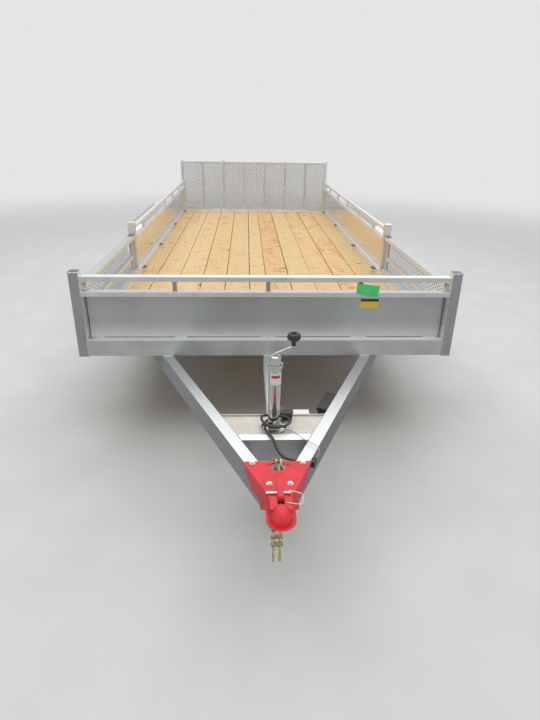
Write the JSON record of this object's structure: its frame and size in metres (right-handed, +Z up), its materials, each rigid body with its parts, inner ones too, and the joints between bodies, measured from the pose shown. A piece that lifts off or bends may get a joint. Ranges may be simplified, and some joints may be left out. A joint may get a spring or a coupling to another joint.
{
  "type": "utility trailer",
  "caption": "Tandem-axle aluminium utility trailer with plank deck, low panelled sides, side ramps, folding rear ramp gate, A-frame tongue, coupler and jack.",
  "frame": {"origin": "on the ground under the middle of the whole length, between the wheels", "axes": "+Z up; -Y towards the coupler; +X to the right of someone who looks from the coupler to the gate"},
  "size_m": [2.486, 6.333, 1.221],
  "materials": {
    "aluminium_tube": "mill finish, lightly brushed",
    "aluminium_sheet": "satin sheet",
    "expanded_mesh": "expanded diamond mesh",
    "pine_planks": "bare sawn pine with knots",
    "red_enamel": "gloss enamel",
    "zinc_plate": "bright zinc plate",
    "yellow_zinc": "yellow zinc plate",
    "galvanised_steel": "hot-dip galvanised",
    "black_steel": "black paint",
    "black_pvc": "cable jacket",
    "black_rubber": "moulded rubber",
    "black_plastic": "moulded plastic",
    "grey_plastic": "moulded plastic",
    "steel_wire": "stranded wire",
    "red_lens": "lamp lens",
    "amber_lens": "lamp lens",
    "tyre_rubber": "worn matt tread",
    "wheel_alloy": "cast, machined face"
  },
  "bodies": {
    "trailer": {"front_beam": "aluminium_tube", "side_beams": "aluminium_tube", "rear_beam": "aluminium_tube", "tongue_members": "aluminium_tube", "tongue_centre": "aluminium_tube", "cross_tube": "aluminium_tube", "jack_plate": "aluminium_tube", "crossmembers": "aluminium_tube", "lower_rails": "aluminium_tube", "posts": "aluminium_tube", "front_rails": "aluminium_tube", "side_rails": "aluminium_tube", "rail_uprights": "aluminium_tube", "fenders": "aluminium_tube", "tie_downs": "aluminium_tube", "front_panel": "aluminium_sheet", "side_panels": "aluminium_sheet", "deck_planks": "pine_planks", "coupler": "red_enamel", "coupler_latch": "red_enamel", "jack_tube": "zinc_plate", "jack_crank": "zinc_plate", "safety_chains": "yellow_zinc", "gate_catches": "zinc_plate", "ramp_latches": "zinc_plate", "gate_hinges": "zinc_plate", "ramp_hinges": "zinc_plate", "axle_tubes": "galvanised_steel", "axle_brackets": "galvanised_steel", "trailing_arms": "galvanised_steel", "brake_plates": "black_steel", "cable": "black_pvc", "cable_grommet": "black_rubber", "plug": "black_plastic", "lanyard": "steel_wire", "battery_box": "black_plastic", "junction_box": "grey_plastic", "breakaway_switch": "black_plastic", "tail_lamps": "red_lens", "marker_lamps": "amber_lens"},
    "gate_lower": {"gate_lower_frame": "aluminium_tube", "gate_lower_mesh": "expanded_mesh"},
    "gate_upper": {"gate_upper_frame": "aluminium_tube", "gate_upper_mesh": "expanded_mesh"},
    "ramp_left": {"ramp_left_frame": "aluminium_tube", "ramp_left_mesh": "expanded_mesh"},
    "ramp_right": {"ramp_right_frame": "aluminium_tube", "ramp_right_mesh": "expanded_mesh"},
    "jack_foot": {"jack_leg": "zinc_plate"},
    "wheel_left_front": {"tyre_left_front": "tyre_rubber", "rim_left_front": "wheel_alloy"},
    "wheel_left_rear": {"tyre_left_rear": "tyre_rubber", "rim_left_rear": "wheel_alloy"},
    "wheel_right_front": {"tyre_right_front": "tyre_rubber", "rim_right_front": "wheel_alloy"},
    "wheel_right_rear": {"tyre_right_rear": "tyre_rubber", "rim_right_rear": "wheel_alloy"}
  },
  "joints": [
    {"name": "gate_fold_down", "type": "hinge", "parent": "trailer", "child": "gate_lower", "pos_m": [0, 3.116, 0.544], "axis": [-1, 0, 0], "range_deg": [0, 113]},
    {"name": "gate_leaf_unfold", "type": "hinge", "parent": "gate_lower", "child": "gate_upper", "pos_m": [0, 3.1335, 1.212], "axis": [1, 0, 0], "range_deg": [0, 180]},
    {"name": "ramp_left_swing", "type": "hinge", "parent": "trailer", "child": "ramp_left", "pos_m": [-0.978, -0.4875, 0.75], "axis": [0, 0, -1], "range_deg": [0, 100]},
    {"name": "ramp_right_swing", "type": "hinge", "parent": "trailer", "child": "ramp_right", "pos_m": [0.978, -0.4875, 0.75], "axis": [0, 0, 1], "range_deg": [0, 100]},
    {"name": "jack_retract", "type": "slide", "parent": "trailer", "child": "jack_foot", "axis": [0, 0, 1], "range_m": [0, 0.25]},
    {"name": "wheel_left_front_spin", "type": "hinge", "parent": "trailer", "child": "wheel_left_front", "pos_m": [-1.133, 0.9415, 0.343], "axis": [1, 0, 0], "continuous": true},
    {"name": "wheel_left_rear_spin", "type": "hinge", "parent": "trailer", "child": "wheel_left_rear", "pos_m": [-1.133, 1.8015, 0.343], "axis": [1, 0, 0], "continuous": true},
    {"name": "wheel_right_front_spin", "type": "hinge", "parent": "trailer", "child": "wheel_right_front", "pos_m": [1.133, 0.9415, 0.343], "axis": [1, 0, 0], "continuous": true},
    {"name": "wheel_right_rear_spin", "type": "hinge", "parent": "trailer", "child": "wheel_right_rear", "pos_m": [1.133, 1.8015, 0.343], "axis": [1, 0, 0], "continuous": true}
  ]
}
